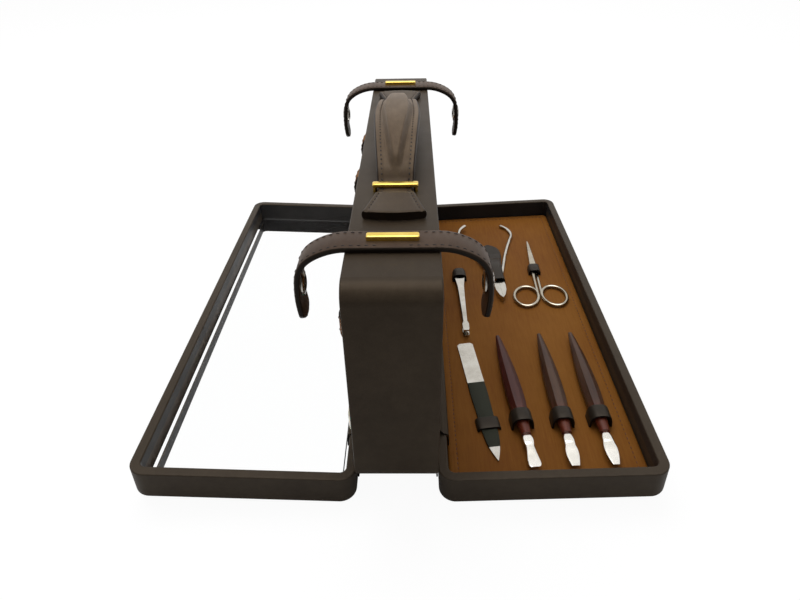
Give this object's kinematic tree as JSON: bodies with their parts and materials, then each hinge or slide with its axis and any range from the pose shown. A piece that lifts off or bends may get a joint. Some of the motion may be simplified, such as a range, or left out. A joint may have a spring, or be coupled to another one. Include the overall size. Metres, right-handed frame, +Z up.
{
  "type": "hard toiletry case",
  "caption": "Hard leather toiletry case standing open: a narrow body with a handle and cross straps between two hinged trays, one with a mirror, one with manicure tools.",
  "frame": {"origin": "centre of the open case's footprint, on the floor that it stands on", "axes": "+X from the mirror's tray to the tools' tray, +Y along the case from front to rear, +Z up"},
  "size_m": [0.2654, 0.3, 0.1534],
  "materials": {
    "case_leather": "grained dark brown covering leather, glazed",
    "strap_leather": "smooth dark brown strap leather, black edges",
    "tan_leather": "tan panel leather with a fine straight grain",
    "loop_leather": "thin black-brown skiver, pressed",
    "lining": "tan lining",
    "brass": "polished, lightly worn",
    "steel": "polished nickel-plated steel",
    "abrasive": "cut file face",
    "handle_resin": "translucent red-brown, polished facets",
    "mirror": "bevelled mirror glass",
    "glass": "clear glass",
    "clear_tube": "clear to milky celluloid",
    "bristle": "natural bristle",
    "brush_wood": "varnished hardwood"
  },
  "bodies": {
    "case_body": {"body_shell": "case_leather", "body_lining": "lining", "partition": "tan_leather", "hinge_leather_left": "case_leather", "hinge_leather_right": "case_leather", "gusset_left": "strap_leather", "gusset_right": "strap_leather", "strap_centre_front": "strap_leather", "strap_centre_rear": "strap_leather", "strap_bars": "brass", "handle_keepers": "brass", "shaving_brush_handle": "clear_tube", "shaving_brush_bristles": "bristle", "nail_brush_back": "brush_wood", "nail_brush_bristles": "bristle", "toothbrush_tube": "clear_tube", "toothbrush_tube_cap": "clear_tube", "bottle_front": "glass", "bottle_rear": "glass", "hair_brush_back": "brush_wood", "hair_brush_bristles": "bristle", "retainers": "loop_leather"},
    "handle": {"carry_handle": "strap_leather"},
    "left_tray": {"left_tray_shell": "case_leather", "mirror": "mirror", "left_snap_studs": "brass"},
    "right_tray": {"right_tray_shell": "case_leather", "tool_panel": "tan_leather", "right_snap_studs": "brass", "tool_loops": "loop_leather", "scissors_loop": "loop_leather", "tweezers_cap": "loop_leather", "nippers_flap": "loop_leather"},
    "file": {"nail_file": "steel", "nail_file_abrasive": "abrasive"},
    "tweezers": {"tweezers_lower_arm": "steel"},
    "tweezers_spring_arm": {"tweezers_upper_arm": "steel"},
    "nippers": {"nippers_lower_half": "steel", "nippers_screw": "steel"},
    "nippers_moving_half": {"nippers_upper_half": "steel"},
    "scissors": {"scissors_upper_half": "steel", "scissors_screw": "steel"},
    "scissors_moving_half": {"scissors_lower_half": "steel"},
    "cap_front": {"bottle_cap_front": "steel"},
    "cap_rear": {"bottle_cap_rear": "steel"},
    "implement_1": {"implement_1_handle": "handle_resin", "implement_1_blade": "steel"},
    "implement_2": {"implement_2_handle": "handle_resin", "implement_2_blade": "steel"},
    "implement_3": {"implement_3_handle": "handle_resin", "implement_3_blade": "steel"},
    "strap_front_left": {"strap_end_front_left": "strap_leather", "snap_socket_front_left": "brass"},
    "strap_front_right": {"strap_end_front_right": "strap_leather", "snap_socket_front_right": "brass"},
    "strap_rear_left": {"strap_end_rear_left": "strap_leather", "snap_socket_rear_left": "brass"},
    "strap_rear_right": {"strap_end_rear_right": "strap_leather", "snap_socket_rear_right": "brass"}
  },
  "joints": [
    {"name": "left_tray_fold", "type": "hinge", "parent": "case_body", "child": "left_tray", "pos_m": [-0.0201, 0, 0.01787], "axis": [0, 1, 0], "range_deg": [0, 87.4], "deforming": ["hinge_leather_left", "gusset_left"]},
    {"name": "right_tray_fold", "type": "hinge", "parent": "case_body", "child": "right_tray", "pos_m": [0.0201, 0, 0.01787], "axis": [0, -1, 0], "range_deg": [0, 87.4], "deforming": ["hinge_leather_right", "gusset_right"]},
    {"name": "strap_front_left_lift", "type": "hinge", "parent": "case_body", "child": "strap_front_left", "pos_m": [-0.012, -0.1165, 0.13117], "axis": [0, 1, 0], "range_deg": [0, 105], "deforming": ["strap_end_front_left", "snap_socket_front_left"]},
    {"name": "strap_front_right_lift", "type": "hinge", "parent": "case_body", "child": "strap_front_right", "pos_m": [0.012, -0.1165, 0.13117], "axis": [0, -1, 0], "range_deg": [0, 105], "deforming": ["strap_end_front_right", "snap_socket_front_right"]},
    {"name": "strap_rear_left_lift", "type": "hinge", "parent": "case_body", "child": "strap_rear_left", "pos_m": [-0.012, 0.1165, 0.13117], "axis": [0, 1, 0], "range_deg": [0, 105], "deforming": ["strap_end_rear_left", "snap_socket_rear_left"]},
    {"name": "strap_rear_right_lift", "type": "hinge", "parent": "case_body", "child": "strap_rear_right", "pos_m": [0.012, 0.1165, 0.13117], "axis": [0, -1, 0], "range_deg": [0, 105], "deforming": ["strap_end_rear_right", "snap_socket_rear_right"]},
    {"name": "handle_slide", "type": "slide", "parent": "case_body", "child": "handle", "axis": [0, 1, 0], "range_m": [-0.0025, 0.0025]},
    {"name": "file_draw", "type": "slide", "parent": "right_tray", "child": "file", "axis": [0.1079, -0.9942, 0.0049], "range_m": [0, 0.009]},
    {"name": "implement_1_draw", "type": "slide", "parent": "right_tray", "child": "implement_1", "axis": [-0.0627, 0.998, -0.0028], "range_m": [0, 0.016]},
    {"name": "implement_2_draw", "type": "slide", "parent": "right_tray", "child": "implement_2", "axis": [0, 1, 0], "range_m": [0, 0.016]},
    {"name": "implement_3_draw", "type": "slide", "parent": "right_tray", "child": "implement_3", "axis": [0, 1, 0], "range_m": [0, 0.016]},
    {"name": "tweezers_draw", "type": "slide", "parent": "right_tray", "child": "tweezers", "axis": [0, -1, 0], "range_m": [0, 0.007]},
    {"name": "tweezers_squeeze", "type": "hinge", "parent": "tweezers", "child": "tweezers_spring_arm", "pos_m": [0.0436, 0.04757, 0.00953], "axis": [0.999, 0, 0.0454], "range_deg": [0, 2.7], "stiffness_Nm_per_rad": 2},
    {"name": "nippers_draw", "type": "slide", "parent": "right_tray", "child": "nippers", "axis": [0.0349, -0.9994, 0.0016], "range_m": [0, 0.028]},
    {"name": "nippers_open", "type": "hinge", "parent": "nippers", "child": "nippers_moving_half", "pos_m": [0.07185, 0.03988, 0.01001], "axis": [-0.0454, 0, 0.999], "range_deg": [0, 8]},
    {"name": "scissors_draw", "type": "slide", "parent": "right_tray", "child": "scissors", "axis": [-0.0349, -0.9994, -0.0016], "range_m": [0, 0.014]},
    {"name": "scissors_open", "type": "hinge", "parent": "scissors", "child": "scissors_moving_half", "pos_m": [0.10096, 0.05243, 0.01043], "axis": [-0.0454, 0, 0.999], "range_deg": [0, 9], "deforming": ["scissors_loop"]},
    {"name": "bottle_cap_front_turn", "type": "hinge", "parent": "case_body", "child": "cap_front", "pos_m": [-0.0048, -0.052, 0.08307], "axis": [0, 0, 1], "continuous": true},
    {"name": "bottle_cap_rear_turn", "type": "hinge", "parent": "case_body", "child": "cap_rear", "pos_m": [-0.0048, -0.014, 0.08307], "axis": [0, 0, 1], "continuous": true}
  ]
}
